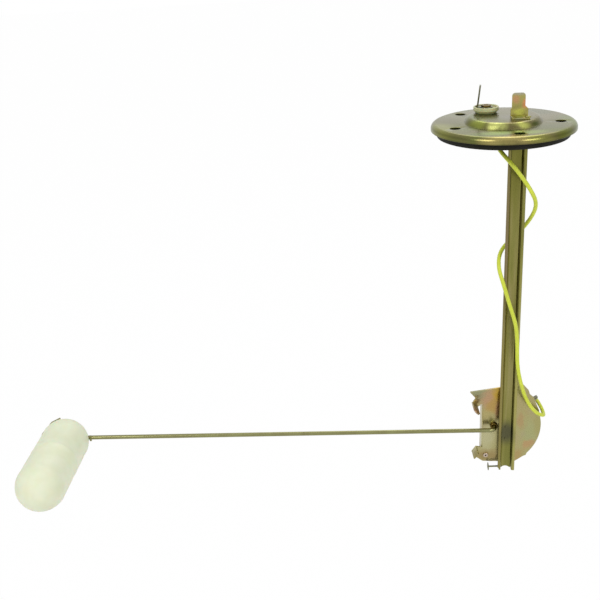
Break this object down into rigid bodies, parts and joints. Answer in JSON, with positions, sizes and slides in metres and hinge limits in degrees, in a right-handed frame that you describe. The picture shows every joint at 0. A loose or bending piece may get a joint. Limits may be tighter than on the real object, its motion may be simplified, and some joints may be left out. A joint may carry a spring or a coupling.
{
  "type": "fuel level sender",
  "caption": "Round flange with a channel stem, a resistance unit in a pressed case, and a pivoted wire arm that carries a capsule float.",
  "frame": {"origin": "middle of the bolt circle, on the underside of the gasket, where the tank's face is", "axes": "+Z out of the tank along the flange's axis; -X towards the float; -Y towards the open side of the channel stem"},
  "size_m": [0.2882, 0.1055, 0.2109],
  "materials": {
    "yellow_passivated": "zinc plated and yellow passivated sheet steel, glossy",
    "yellow_passivated_stem": "zinc plated and yellow passivated folded steel, glossy",
    "yellow_passivated_plate": "zinc plated and yellow passivated sheet steel, iridescent",
    "zinc_pin": "zinc plated steel",
    "arm_wire": "yellow passivated steel wire",
    "nitrile_rubber": "matt moulded rubber",
    "nylon": "moulded natural nylon",
    "float_nylon": "translucent moulded nylon",
    "fibre": "fibre board",
    "tinned_brass": "dull tinned brass strip",
    "brass": "plain brass",
    "resistance_wire": "drawn alloy wire",
    "lead_sleeve": "yellow-green sleeving",
    "solder": "tin solder"
  },
  "bodies": {
    "sender": {"flange": "yellow_passivated", "gasket": "nitrile_rubber", "terminal_insulator": "nylon", "inner_insulator": "fibre", "supply_terminal": "tinned_brass", "supply_tag": "tinned_brass", "terminal_rivet": "brass", "earth_tab": "yellow_passivated", "stem": "yellow_passivated_stem", "foot_pin": "zinc_pin", "bracket_plate": "yellow_passivated_plate", "case": "yellow_passivated", "insulating_liner": "fibre", "card_former": "fibre", "resistance_winding": "resistance_wire", "card_rivet": "brass", "outlet_bush": "nylon", "outlet_tag": "tinned_brass", "pivot_bush": "brass", "lead_wire": "lead_sleeve", "supply_solder": "solder", "outlet_solder": "solder"},
    "arm": {"float_arm": "arm_wire", "float": "float_nylon", "wiper_hub": "brass", "wiper_blade": "brass", "wiper_contact": "brass", "spring_washer": "resistance_wire", "spindle_clip": "zinc_pin"}
  },
  "joints": [
    {"name": "float_arm_swing", "type": "hinge", "parent": "sender", "child": "arm", "pos_m": [-0.001, -0.0065, -0.1613], "axis": [0, 1, 0], "range_deg": [-48, 34]}
  ]
}
